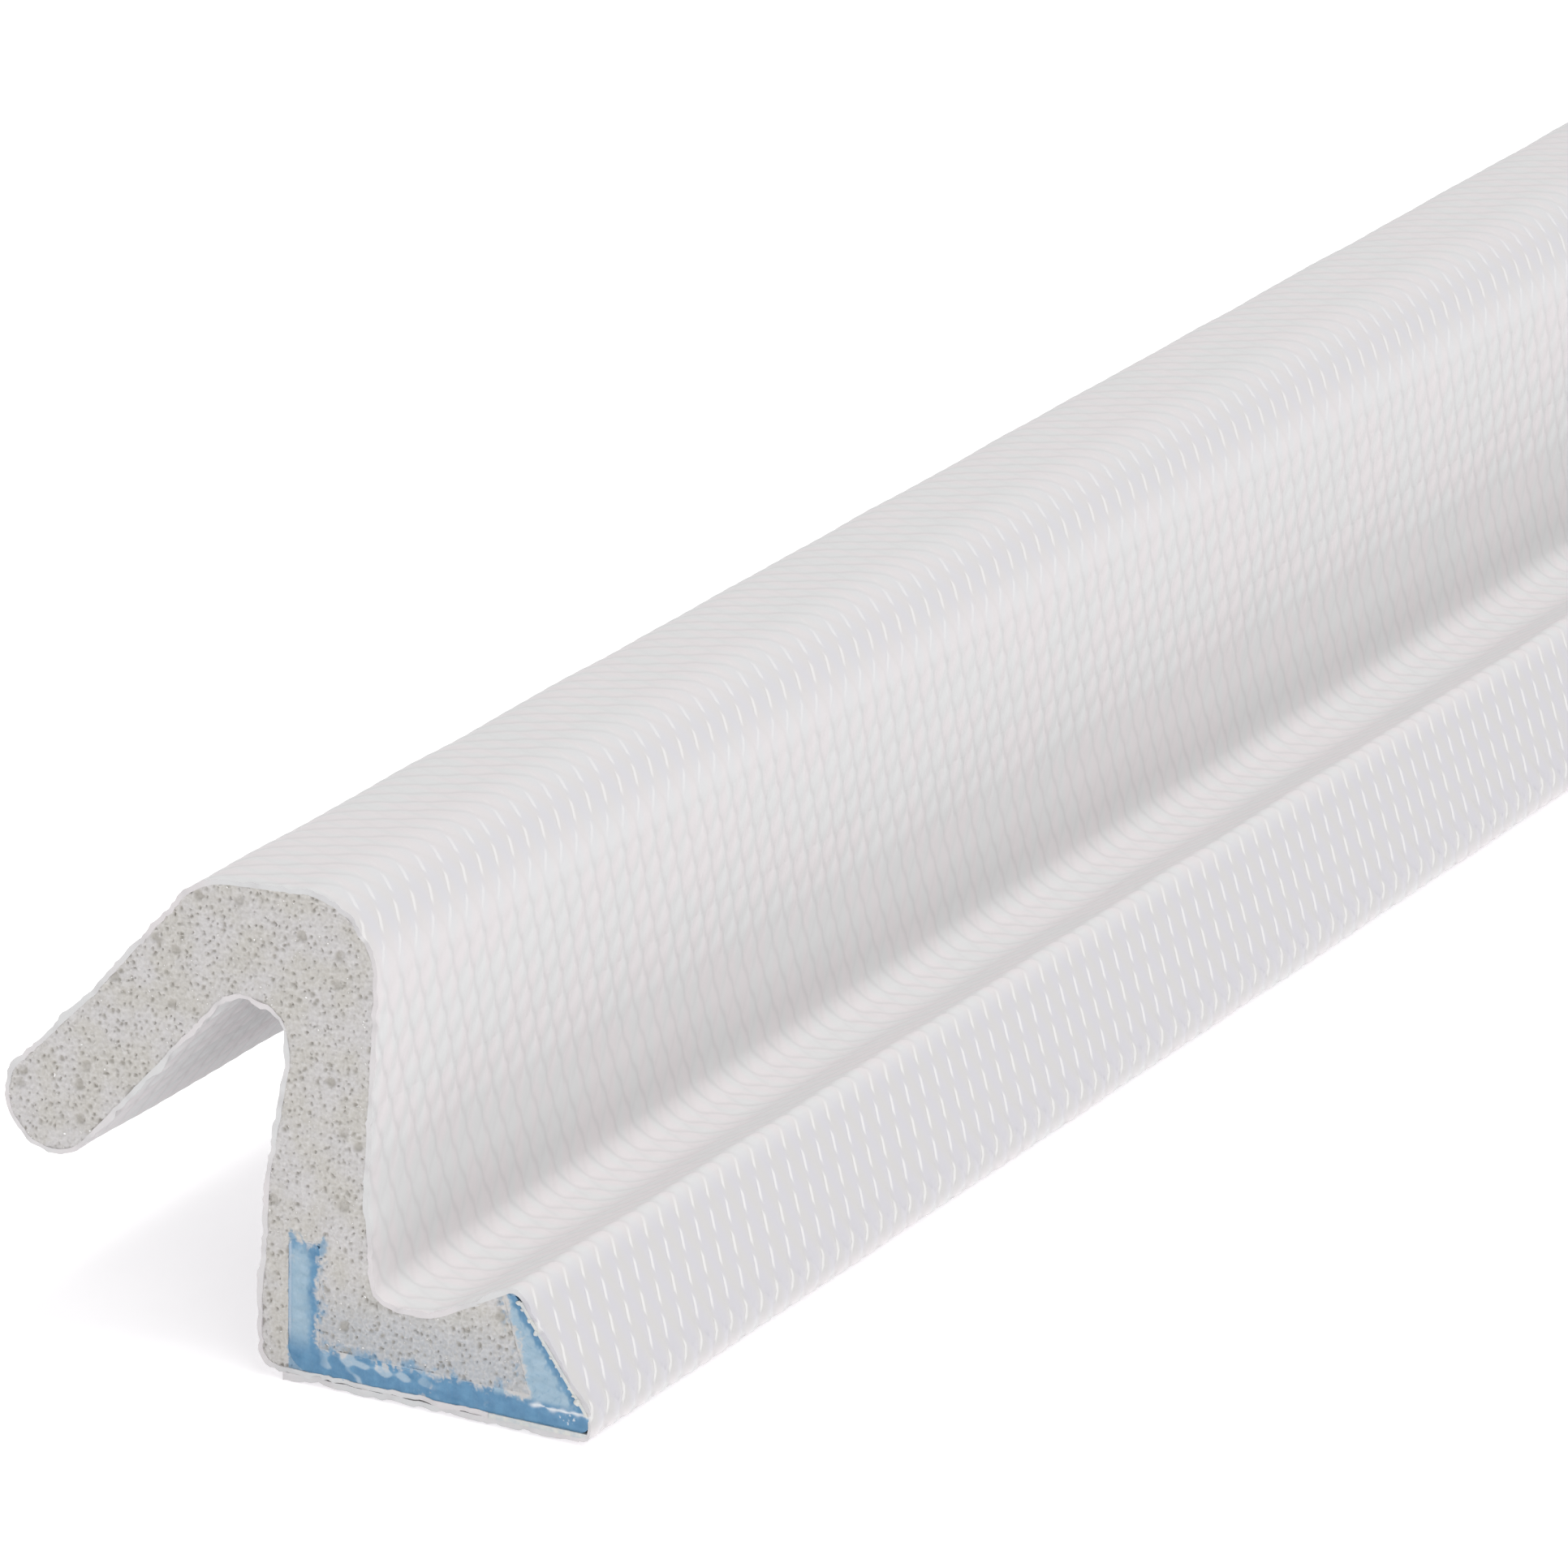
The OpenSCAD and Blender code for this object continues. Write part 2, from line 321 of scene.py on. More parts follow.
def resampled(loop, step):
    """The closed loop again with points about step apart, its corners kept."""
    out = []
    for a, b in zip(loop, np.roll(loop, -1, 0)):
        n = max(1, round(np.linalg.norm(b - a) / step))
        out += [a + (b - a) * i / n for i in range(n)]
    return np.array(out)


def inside(points, loop):
    """Whether each point is inside the closed loop."""
    x, z = points[:, 0], points[:, 1]
    hit = np.zeros(len(points), bool)
    for a, b in zip(loop, np.roll(loop, -1, 0)):
        if a[1] == b[1]:
            continue
        crosses = (a[1] > z) != (b[1] > z)
        hit ^= crosses & (x < (b[0] - a[0]) * (z - a[1]) / (b[1] - a[1]) + a[0])
    return hit


def filled(loop, step, seed, holes=()):
    """An even triangle net over the inside of a loop, less any holes: its points and triangles."""
    rings = [resampled(ring, step) for ring in (loop, *holes)]
    edge = np.vstack(rings)
    lo, hi = edge.min(0), edge.max(0)
    r = np.random.default_rng(seed)
    xs, zs = np.arange(lo[0], hi[0], step), np.arange(lo[1], hi[1], step * 0.866)
    X, Z = np.meshgrid(xs, zs)
    X = X + (np.arange(len(zs)) % 2)[:, None] * step / 2
    net = np.stack([X.ravel(), Z.ravel()], 1) + r.uniform(-0.2, 0.2, (X.size, 2)) * step

    def within(points):
        hit = inside(points, rings[0])
        for ring in rings[1:]:
            hit &= ~inside(points, ring)
        return hit

    net = net[within(net)]
    near = np.full(len(net), 9.0)
    for a in edge:
        near = np.minimum(near, np.linalg.norm(net - a, axis=1))
    every = np.vstack([edge, net[near > step * 0.6]])
    rim, first = [], 0
    for ring in rings:
        rim += [(first + k, first + (k + 1) % len(ring)) for k in range(len(ring))]
        first += len(ring)
    v, _, f, _, _, _ = delaunay_2d_cdt([Vector(p) for p in every], rim, [], 0, 1e-7)
    v = np.array([tuple(p) for p in v])
    keep = within(np.array([v[t].mean(0) for t in f]))
    used, f = np.unique([t for t, k in zip(f, keep) if k], return_inverse=True)
    return v[used], f.reshape(-1, 3).tolist()


def cut_block(name, loop, material, relief, values, seed, step=0.05, holes=()):
    """A solid swept along Y from a loop, whose two cut ends carry a fine relief.

    relief(x, z, end) gives each point's depth below the cut in millimetres. values(x, z, end) gives named
    values for the material.
    """
    v, tris = filled(loop, step, seed, holes)
    x, z = v[:, 0], v[:, 1]
    count = {}
    for t in tris:
        for a, b in ((t[0], t[1]), (t[1], t[2]), (t[2], t[0])):
            count[(a, b)] = count.get((a, b), 0) + 1
    rim = [e for e in count if (e[1], e[0]) not in count]
    points, faces, named = [], [], {}
    for end, sign in ((0, -1), (1, 1)):
        depth = relief(x, z, end)
        base = end * len(v)
        points.append(np.stack([x, sign * (HALF - depth), z], 1))
        for t in tris:
            face = [base + int(q) for q in t]
            faces.append(face if sign < 0 else face[::-1])
        for key, value in values(x, z, end).items():
            named.setdefault(key, []).append(value)
    for a, b in rim:
        faces.append([int(b), int(a), int(a) + len(v), int(b) + len(v)])
    named = {key: np.concatenate(both) for key, both in named.items()}
    return new_mesh(name, np.vstack(points), faces, material, named, sharp=60)


# ---------------------------------------------------------------- materials
BUMP_DEPTH = 0.00003

# The film: cells of two tints, with painted shade in its thread lines; where the threads face the top light,
# a darker, lilac painted shade and painted glint dashes
FILM_WARM, FILM_COOL = (0.672, 0.645, 0.651), (0.646, 0.652, 0.652)
# painted shade: darker cell tints, one lilac, for the zone that faces the top light
FILM_ZONE_SHADE_WARM, FILM_ZONE_SHADE_LILAC = (0.572, 0.565, 0.562), (0.566, 0.56, 0.592)
# painted shade in the thread lines
FILM_LINE_SHADE = (0.55, 0.54, 0.545)
# painted glint on the thread dashes
FILM_DASH_GLINT = (0.82, 0.82, 0.81)

FOAM_WARM, FOAM_COOL = (0.525, 0.508, 0.472), (0.565, 0.552, 0.55)
# painted shade between the stiffener's legs
FOAM_SHADE_BETWEEN_LEGS = (0.40, 0.425, 0.455)
FOAM_WEB = (0.69, 0.68, 0.67)
FOAM_SPECK = (0.42, 0.40, 0.365)
# painted shade in the pores
FOAM_PORE_SHADE = (0.36, 0.34, 0.30)
FOAM_BLUE = (0.15, 0.31, 0.47)
FOAM_GLINT = (0.95, 0.95, 0.95)

BLUE_DEEP, BLUE_BRIGHT = (0.075, 0.215, 0.375), (0.115, 0.28, 0.45)
BLUE_CORE, BLUE_CORE_LIGHT = (0.27, 0.41, 0.52), (0.345, 0.475, 0.575)
FOAM_LEFT = (0.55, 0.54, 0.53)
STRESS_WHITE = (0.74, 0.77, 0.80)

GLUE_COOL, GLUE_WARM = (0.52, 0.56, 0.58), (0.68, 0.67, 0.62)
FLOOR_BASE, FLOOR_GLOW = (0.88, 0.88, 0.88), (0.99, 0.97, 1.0)


def shader(name):
    """A new node material, its node tree and its Principled shader."""
    material = bpy.data.materials.new(name)
    material.use_nodes = True
    tree = material.node_tree
    return material, tree, tree.nodes["Principled BSDF"]


def node(tree, kind, **settings):
    made = tree.nodes.new(kind)
    for key, value in settings.items():
        if key in made.inputs:
            made.inputs[key].default_value = value
        else:
            setattr(made, key, value)
    return made


def mixed(tree, factor, a, b):
    """A colour mix of a and b, each a socket or a colour."""
    mix = tree.nodes.new("ShaderNodeMix")
    mix.data_type = "RGBA"
    for socket, value in ((mix.inputs[0], factor), (mix.inputs[6], a), (mix.inputs[7], b)):
        if isinstance(value, bpy.types.NodeSocket):
            tree.links.new(value, socket)
        elif isinstance(value, (int, float)):
            socket.default_value = value
        else:
            socket.default_value = (*value, 1)
    return mix.outputs[2]


def ranged(tree, value, lo, hi, to_lo=0.0, to_hi=1.0, how="LINEAR"):
    """A value moved from the range lo to hi to another range, and held inside it."""
    made = node(tree, "ShaderNodeMapRange", interpolation_type=how)
    tree.links.new(value, made.inputs["Value"])
    for key, number in (("From Min", lo), ("From Max", hi), ("To Min", to_lo), ("To Max", to_hi)):
        made.inputs[key].default_value = number
    return made.outputs["Result"]


def calc(tree, operation, *values):
    """A Math node on sockets or numbers."""
    made = tree.nodes.new("ShaderNodeMath")
    made.operation = operation
    for socket, value in zip(made.inputs, values):
        if isinstance(value, bpy.types.NodeSocket):
            tree.links.new(value, socket)
        else:
            socket.default_value = value
    return made.outputs[0]


def smooth(tree, value, lo, hi):
    """0 below lo and 1 above hi, with a soft step between."""
    return ranged(tree, value, lo, hi, how="SMOOTHSTEP")


def stored(tree, name):
    """A named value that the mesh holds on its points."""
    return node(tree, "ShaderNodeAttribute", attribute_name=name).outputs["Fac"]


def noise(tree, scale, detail):
    """Noise fixed to the piece; scale is in features to the metre."""
    place = node(tree, "ShaderNodeTexCoord").outputs["Object"]
    made = node(tree, "ShaderNodeTexNoise", Scale=scale, Detail=detail)
    tree.links.new(place, made.inputs["Vector"])
    return made.outputs["Fac"]


def add_bump(tree, out, height, strength):
    """Fine relief by normals, on top of the mesh's own."""
    bump = node(tree, "ShaderNodeBump", Strength=strength, Distance=BUMP_DEPTH)
    tree.links.new(height, bump.inputs["Height"])
    tree.links.new(bump.outputs["Normal"], out.inputs["Normal"])


def film_material():
    """White semi-gloss woven film.

    Away from the zone that faces the top light, painted shade shows as soft lines at the threads. In that
    zone, painted glints show as short dashes over a darker, lilac painted shade.
    """
    material, tree, out = shader("cover_film")
    a, b = stored(tree, "thread_a"), stored(tree, "thread_b")
    glint_zone = stored(tree, "glint_zone")
    away_a, away_b = (
        calc(tree, "ABSOLUTE", calc(tree, "SUBTRACT", calc(tree, "FRACT", number), 0.5)) for number in (a, b)
    )
    line_a, line_b = smooth(tree, away_a, 0.26, 0.5), smooth(tree, away_b, 0.26, 0.5)
    dash = calc(tree, "MULTIPLY", smooth(tree, away_b, 0.375, 0.47), smooth(tree, away_a, 0.40, 0.24))
    patch, grain = noise(tree, 420.0, 2.0), noise(tree, 9000.0, 3.0)
    wave = calc(tree, "SINE", calc(tree, "MULTIPLY", calc(tree, "ADD", a, b), math.pi))
    side = calc(tree, "ADD", wave, 1.0)
    tint = calc(tree, "MULTIPLY_ADD", side, 0.5, ranged(tree, patch, 0.4, 0.6, -0.4, 0.4))
    off_zone_colour = mixed(tree, smooth(tree, tint, 0.0, 1.0), FILM_WARM, FILM_COOL)
    # painted shade: the zone's cells in darker warm and lilac tints
    zone_shade_colour = mixed(tree, calc(tree, "MULTIPLY", side, 0.5), FILM_ZONE_SHADE_WARM, FILM_ZONE_SHADE_LILAC)
    colour = mixed(tree, glint_zone, off_zone_colour, zone_shade_colour)
    off_zone = calc(tree, "SUBTRACT", 1.0, glint_zone)
    # painted shade at the threads, stronger on one family of threads
    line = calc(tree, "MAXIMUM", line_a, calc(tree, "MULTIPLY", line_b, 0.6))
    line_shade = calc(tree, "MULTIPLY", line, off_zone)
    # painted glint: short dashes on the threads in the zone that faces the top light
    dash_glint = calc(tree, "MULTIPLY", dash, glint_zone)
    colour = mixed(tree, calc(tree, "MULTIPLY", calc(tree, "POWER", line_shade, 2.0), 0.5), colour, FILM_LINE_SHADE)
    colour = mixed(tree, calc(tree, "MULTIPLY", dash_glint, 0.6), colour, FILM_DASH_GLINT)
    tree.links.new(colour, out.inputs["Base Color"])
    tree.links.new(ranged(tree, grain, 0.3, 0.7, 0.36, 0.48), out.inputs["Roughness"])
    height = calc(tree, "SUBTRACT", calc(tree, "MULTIPLY", dash_glint, 0.8), calc(tree, "MULTIPLY", line_shade, 0.3))
    add_bump(tree, out, calc(tree, "MULTIPLY_ADD", grain, 0.10, height), 1.0)
    out.inputs["IOR"].default_value = 1.45
    out.inputs["Specular IOR Level"].default_value = 0.35
    return material


def foam_material():
    """Grey-beige foam: a pale webbed matrix in warm and cool patches, painted shade in its pores, and the odd
    glint.
    """
    material, tree, out = shader("foam")
    cloud, fine = noise(tree, 750.0, 3.0), noise(tree, 7500.0, 3.0)
    colour = mixed(tree, smooth(tree, cloud, 0.38, 0.62), FOAM_WARM, FOAM_COOL)
    # painted shade between the stiffener's legs
    colour = mixed(tree, calc(tree, "MULTIPLY", stored(tree, "shade"), 0.85), colour, FOAM_SHADE_BETWEEN_LEGS)
    colour = mixed(tree, calc(tree, "MULTIPLY", stored(tree, "web"), 0.5), colour, FOAM_WEB)
    colour = mixed(tree, ranged(tree, fine, 0.48, 0.7, 0.0, 0.45), colour, FOAM_SPECK)
    # painted shade in the pores
    colour = mixed(tree, calc(tree, "MULTIPLY", stored(tree, "pore"), 0.8), colour, FOAM_PORE_SHADE)
    colour = mixed(tree, calc(tree, "MULTIPLY", stored(tree, "blue"), 0.8), colour, FOAM_BLUE)
    colour = mixed(tree, smooth(tree, fine, 0.70, 0.75), colour, FOAM_GLINT)
    tree.links.new(colour, out.inputs["Base Color"])
    out.inputs["Roughness"].default_value = 0.5
    add_bump(tree, out, fine, 0.5)
    return material


def stiffener_material():
    """Blue plastic, deep at the skin and pale in its smeared core, with stress marks and foam left on it."""
    material, tree, out = shader("stiffener")
    streak = noise(tree, 2600.0, 4.0)
    light = ranged(tree, streak, 0.35, 0.65)
    deep = mixed(tree, light, BLUE_DEEP, BLUE_BRIGHT)
    core = mixed(tree, light, BLUE_CORE, BLUE_CORE_LIGHT)
    colour = mixed(tree, stored(tree, "pale"), deep, core)
    colour = mixed(tree, stored(tree, "residue"), colour, FOAM_LEFT)
    colour = mixed(tree, stored(tree, "white"), colour, STRESS_WHITE)
    tree.links.new(colour, out.inputs["Base Color"])
    tree.links.new(ranged(tree, streak, 0.3, 0.7, 0.28, 0.5), out.inputs["Roughness"])
    add_bump(tree, out, streak, 0.3)
    return material


def floor_material():
    material, _, out = shader("floor")
    out.inputs["Base Color"].default_value = (*FLOOR_BASE, 1)
    out.inputs["Emission Color"].default_value = (*FLOOR_GLOW, 1)
    out.inputs["Emission Strength"].default_value = 0.42
    out.inputs["Roughness"].default_value = 0.9
    out.inputs["Specular IOR Level"].default_value = 0.1
    return material


FILM = film_material()
FOAM = foam_material()
BLUE = stiffener_material()


# ---------------------------------------------------------------- the cover film, and the waist and crest pieces' baked transforms
def bend_at_waist(piece):
    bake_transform(piece)


def bend_at_crest(piece):
    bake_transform(piece)


def make_cover():
    """The wrap in pieces that meet outside the bends, and the two flaps under the foot."""
    wrap = Wrap()
    toe = wrap.where(0, TOE_X - TOE_R, 0)
    front_low = wrap.where(1, FOOT_TOP, wrap.where(0, FLANK_X - 4, toe))
    front_high = wrap.where(1, WAIST_TOP, front_low)
    lip_top = wrap.where(0, LIP_ROOT, front_high)
    lip_under = wrap.where(0, LIP_ROOT, lip_top + 8)
    back_high = wrap.where(1, WAIST_TOP, wrap.where(0, HEEL_X + 0.5, lip_under))
    back_low = wrap.where(1, FOOT_TOP, back_high)

    flank = film_panel("cover_flank_and_groove", wrap, toe, front_low, FILM)
    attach(flank, "foot")
    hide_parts("cover_foot_front")

    waist_front = film_panel("cover_waist_front", wrap, front_low, front_high, FILM)
    crest = film_panel("cover_crest", wrap, front_high, lip_top, FILM)
    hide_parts("cover_upright_front")
    lip = film_panel("cover_lip_wrap", wrap, lip_top, lip_under, FILM)
    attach(lip, "lip")
    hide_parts("cover_lip")
    arch = film_panel("cover_arch", wrap, lip_under, back_high, FILM)
    waist_back = film_panel("cover_waist_back", wrap, back_high, back_low, FILM)
    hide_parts("cover_upright_back")
    for piece in (waist_front, waist_back):
        bend_at_waist(piece)
    for piece in (crest, arch):
        bend_at_crest(piece)

    # Under the foot the inner flap lies against the plate, and the outer flap below it
    low = Wrap(floor_z=FILM_T)
    low_back = low.where(1, FOOT_TOP, low.total * 0.8)
    inner_edge = low.where(0, TOE_X - INNER_FLAP_EDGE, 0) + low.total
    heel_film = film_panel("cover_heel_and_inner_flap", low, low_back, inner_edge, FILM)
    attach(heel_film, "foot")
    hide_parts("cover_foot_back", "cover_inner_flap")
    outer_edge = wrap.where(0, HEEL_X + OUTER_FLAP_EDGE, 0)
    flap = film_panel("cover_outer_flap_film", wrap, outer_edge, toe, FILM, lift=FLAP_LIFT)
    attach(flap, "foot")
    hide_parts("cover_outer_flap")


# ---------------------------------------------------------------- the foam core
def foam_cells(x, z, end):
    """The cut foam's open pores, 0 to 1, its fine webbing and each pore's random number."""
    seed = 20 + 100 * end
    wx, wz = x + 0.03 * waves(x, z, 0.35, seed), z + 0.03 * waves(x, z, 0.4, seed + 7)
    f1, _, tone = worley(wx, wz, 0.24, seed)
    crowd = 0.12 * waves(x, z, 2.2, seed + 9)
    radius = 0.16 + 0.26 * np.clip((tone + crowd - 0.2) / 0.8, 0, 1) ** 2
    pore = smoothstep(radius, radius * 0.2, f1) * (tone + crowd > 0.2)
    g1, _, few = worley(wx, wz, 1.3, seed + 50)
    pore = np.maximum(pore, smoothstep(0.17, 0.08, g1) * (few > 0.72))
    h1, h2, _ = worley(wx, wz, 0.16, seed + 60)
    web = smoothstep(0.35, 0.03, h2 - h1) * (0.5 + 0.5 * smoothstep(-0.6, 0.8, waves(x, z, 0.4, seed + 70)))
    return pore, web, tone


def frayed(x, z, near, seed):
    """Ragged spots, 0 to 1, that fill the area where near is 1 and thin out to none where it is 0."""
    wx, wz = x + 0.06 * waves(x, z, 0.5, seed), z + 0.06 * waves(x, z, 0.45, seed + 1)
    f1, _, tone = worley(wx * 1.3, wz, 0.24, seed + 2)
    g1, _, fine = worley(wx, wz * 1.4, 0.11, seed + 3)
    reach = 0.62 * tone + 0.38 * fine + 0.25 * waves(x, z, 1.3, seed + 4)
    return smoothstep(-0.30, 0.32, near - reach) * smoothstep(0.0, 0.2, near)


def foam_relief(x, z, end):
    """Depth of the cut foam below the strip's end."""
    pore, web, _ = foam_cells(x, z, end)
    swell = 0.02 * waves(x, z, 1.5, 23 + end)
    return 0.05 + 0.065 * pore - 0.02 * web + swell + 0.012 * waves(x, z, 0.14, 29 + end)


def blue_share(x, z, end):
    """How blue the cut is near the stiffener's inner side, 0 to 1: ragged, and half and half on its line."""
    line = np.array([
        (LEG_X, LEG_H), (LEG_X + LEG_T, LEG_H), (LEG_X + LEG_T, PLATE_TOP),
        (CREASE_X - CREASE_SLANT, PLATE_TOP), (flank_leg_x(FLANK_LEG_TOP), FLANK_LEG_TOP),
    ])
    away = np.full(len(x), 9.0)
    points = np.stack([x, z], 1)
    for p, q in zip(line[:-1], line[1:]):
        t = np.clip(((points - p) @ (q - p)) / ((q - p) @ (q - p)), 0, 1)
        away = np.minimum(away, np.linalg.norm(points - p - t[:, None] * (q - p), axis=1))
    in_foam = ((x > LEG_X + LEG_T) & (z > PLATE_TOP) & (x < flank_leg_x(z))) | (z > LEG_H)
    signed = np.where(in_foam, away, -away)
    return frayed(x, z, np.clip(0.47 - 0.5 * signed / np.where(in_foam, 0.42, 0.25), 0, 1.2), 61 + end)


def foam_values(x, z, end):
    """The cut foam's looks: pores that carry painted shade, webbing, blue at the stiffener and painted shade
    between its legs.
    """
    pore, web, tone = foam_cells(x, z, end)
    blue = blue_share(x, z, end) * (z < LEG_H + 0.4) * (x > LEG_X)
    # painted shade between the stiffener's legs, above the plate
    between = smoothstep(2.6, 0.4, z - PLATE_TOP) * smoothstep(0.0, 0.6, x - LEG_X) * (z < LEG_H + 1)
    return {"pore": pore * (0.35 + 0.65 * tone), "web": web, "blue": blue, "shade": between}


def clipped(loop, axis, value, keep_above):
    """The part of a loop on one side of the line where x (axis 0) or z (axis 1) = value."""
    sign = 1 if keep_above else -1
    out = []
    for a, b in zip(loop, np.roll(loop, -1, 0)):
        da, db = sign * (a[axis] - value), sign * (b[axis] - value)
        if da >= 0:
            out.append(a)
        if da * db < 0:
            out.append(a + (b - a) * da / (da - db))
    return np.array(out)


def make_foam():
    """The core in blocks that meet outside the bends. Each shows open cells at its cut ends."""
    whole = rounded(inset(outline(FILM_T), FILM_T), 6)
    body = clipped(whole, 0, LIP_ROOT, True)
    lip_loop = clipped(whole, 0, LIP_ROOT, False)
    crest_loop = clipped(body, 1, WAIST_TOP, True)
    waist_loop = clipped(clipped(body, 1, FOOT_TOP, True), 1, WAIST_TOP, False)
    foot_loop = clipped(body, 1, FOOT_TOP, False)
    lip = cut_block("foam_core_lip", lip_loop, FOAM, foam_relief, foam_values, 31)
    crest = cut_block("foam_core_crest", crest_loop, FOAM, foam_relief, foam_values, 32)
    waist = cut_block("foam_core_waist", waist_loop, FOAM, foam_relief, foam_values, 33)
    holes = [stiffener_and_bond()]
    foot = cut_block("foam_core_foot", foot_loop, FOAM, foam_relief, foam_values, 34, holes=holes)
    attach(lip, "lip")
    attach(foot, "foot")
    bend_at_waist(waist)
    bend_at_crest(crest)
    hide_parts("foam_lip")
    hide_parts("foam_upright")
    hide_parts("foam_heel", "foam_toe")


# ---------------------------------------------------------------- the stiffener
STIFFENER_STEP = 10  # degrees between the points of its rounded corners


def flank_line(d):
    """The flank's outer line moved inwards by d: its x at a height z."""
    slope = FLANK_RUN / (FLANK_H - TOE_H)
    shift = d * math.hypot(1, slope)
    return lambda z: TOE_X - (z - TOE_H) * slope - shift


def flank_leg_x(z):
    """The flank leg's inner side: its x at a height z."""
    run = FLANK_X - FLANK_LEG_IN - CREASE_X + CREASE_SLANT
    return CREASE_X - CREASE_SLANT + run * (z - PLATE_TOP) / (FLANK_LEG_TOP - PLATE_TOP)


def plate_shape():
    toe = TOE_X - FILM_T
    return rounded([
        (LEG_X, PLATE_Z, PLATE_HEEL_R), (toe, PLATE_Z, 0.3), (toe, CREASE_Z, 0.05),
        (CREASE_X, CREASE_Z, 0), (CREASE_X - CREASE_SLANT, PLATE_TOP, 0), (LEG_X, PLATE_TOP, 0),
    ], STIFFENER_STEP)


def leg_shape():
    return rounded([
        (LEG_X, PLATE_TOP, 0), (LEG_X + LEG_T, PLATE_TOP, 0),
        (LEG_X + LEG_T, LEG_H, LEG_TIP_R), (LEG_X, LEG_H, LEG_TIP_R),
    ], STIFFENER_STEP)


def flank_shape():
    outer, top = flank_line(FILM_T + BOND_T), FLANK_LEG_TOP
    return rounded([
        (CREASE_X - CREASE_SLANT, PLATE_TOP, 0), (CREASE_X, CREASE_Z, 0), (outer(CREASE_Z), CREASE_Z, 0.05),
        (outer(top), top, 0.08), (flank_leg_x(top), top, 0.08),
    ], STIFFENER_STEP)


def stiffener_and_bond():
    """All that the foot's foam is cut away for, as one loop that reaches past the foam at the flank."""
    top, out = FLANK_LEG_TOP, TOE_X + 1
    return rounded([
        (LEG_X, PLATE_Z, PLATE_HEEL_R), (out, PLATE_Z, 0), (out, top, 0), (flank_leg_x(top), top, 0),
        (CREASE_X - CREASE_SLANT, PLATE_TOP, 0), (LEG_X + LEG_T, PLATE_TOP, 0),
        (LEG_X + LEG_T, LEG_H, LEG_TIP_R), (LEG_X, LEG_H, LEG_TIP_R),
    ], STIFFENER_STEP)


def blue_relief(x, z, end):
    """Depth of the cut plastic below the strip's end."""
    return 0.05 + 0.012 * waves(x, z, 0.4, 71 + end) + 0.008 * waves(x, z, 0.12, 75 + end)


def blue_values(x, z, end):
    """The cut stiffener's looks: pale in its core, white at the crease, foam left on its inner side."""
    rag = 0.07 * waves(x, z, 0.45, 81 + end) + 0.04 * waves(x, z, 0.16, 83 + end)
    across = x - LEG_X
    in_leg = smoothstep(0.02, 0.18, across) * smoothstep(0.86, 0.55, across + 0.6 * rag)
    in_leg = in_leg * smoothstep(0.75, 1.7, z) * smoothstep(4.5, 3.9, z + rag)
    skin = 0.45 * np.exp(-(((across - 0.05) / 0.05) ** 2)) * smoothstep(0.9, 1.6, z)
    depth = (flank_line(FILM_T + BOND_T)(z) - x) * 0.81
    in_flank = smoothstep(0.15, 0.36, depth + rag) * smoothstep(CREASE_Z + 0.02, CREASE_Z + 0.25, z)
    in_flank = in_flank * (x > CREASE_X - 1.4)
    along = smoothstep(LEG_X + 0.9, LEG_X + 1.6, x) * smoothstep(LEG_X + 5.6, LEG_X + 3.6, x)
    rise = waves(x * 0.5, z, 0.45, 85 + end) + (z - 0.7) * 1.6
    smear = along * smoothstep(0.15, 0.7, rise) * (z < PLATE_TOP + 0.05)
    fold = CREASE_Z + 0.04 * waves(x, 0 * x, 1.1, 91 + end) + 0.02 * waves(x, 0 * x, 0.35, 92 + end)
    thick = 0.05 + 0.03 * waves(x, z, 0.5, 94 + end)
    crease = np.exp(-(((z - fold) / thick) ** 2)) * smoothstep(CREASE_X - 0.3, CREASE_X, x)
    at_toe = (np.abs(x - TOE_X + 0.85) < 0.28) * (z < CREASE_Z)
    specks = smoothstep(0.75, 1.15, waves(x, z, 0.17, 93 + end)) * at_toe
    scratch = smoothstep(0.05, 0.0, np.abs(waves(x, z, 0.9, 97 + end) - 0.2)) * in_flank
    return {
        "pale": np.clip(np.maximum(in_leg, in_flank) + 0.75 * smear - 0.35 * scratch, 0, 1),
        "white": np.clip(0.95 * crease + 0.8 * specks + 0.2 * smear + skin, 0, 1),
        "residue": 1 - blue_share(x, z, end),
    }


def make_stiffener():
    """The folded strip as three solids, one for each of its CAD nodes."""
    for name, node_name, slot, shape, seed in (
        ("stiffener_plate_strip", "stiffener_base_plate", "stiffener_plate", plate_shape(), 41),
        ("stiffener_leg_strip", "stiffener_upright_leg", "stiffener_leg", leg_shape(), 42),
        ("stiffener_flank_strip", "stiffener_flank_leg", "stiffener_leg", flank_shape(), 43),
    ):
        piece = cut_block(name, shape, BLUE, blue_relief, blue_values, seed, step=0.04)
        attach(piece, "foot")
        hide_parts(node_name)


# ---------------------------------------------------------------- bonds
def bond_material():
    """Cream hot-melt glue, a little glossy and cloudy."""
    material, tree, out = shader("bond")
    colour = mixed(tree, ranged(tree, noise(tree, 3500.0, 3.0), 0.35, 0.65), GLUE_COOL, GLUE_WARM)
    tree.links.new(colour, out.inputs["Base Color"])
    out.inputs["Roughness"].default_value = 0.3
    return material


def lump(centre, size, seed, rings=7, around=10):
    """A small irregular blob: its points and faces."""
    r = np.random.default_rng(seed)
    stretch = r.uniform(0.75, 1.3, 3) * size / 2
    points, faces = [], []
    for i in range(rings + 1):
        t = math.pi * i / rings
        for k in range(around):
            f = 2 * math.pi * k / around
            d = np.array([math.sin(t) * math.cos(f), math.cos(t), math.sin(t) * math.sin(f)])
            points.append(centre + d * stretch * (1 + 0.12 * math.sin(3 * f + seed) * math.sin(t)))
    for i in range(rings):
        for k in range(around):
            a, b = i * around + k, i * around + (k + 1) % around
            faces.append([a, b, b + around, a + around])
    return points, faces


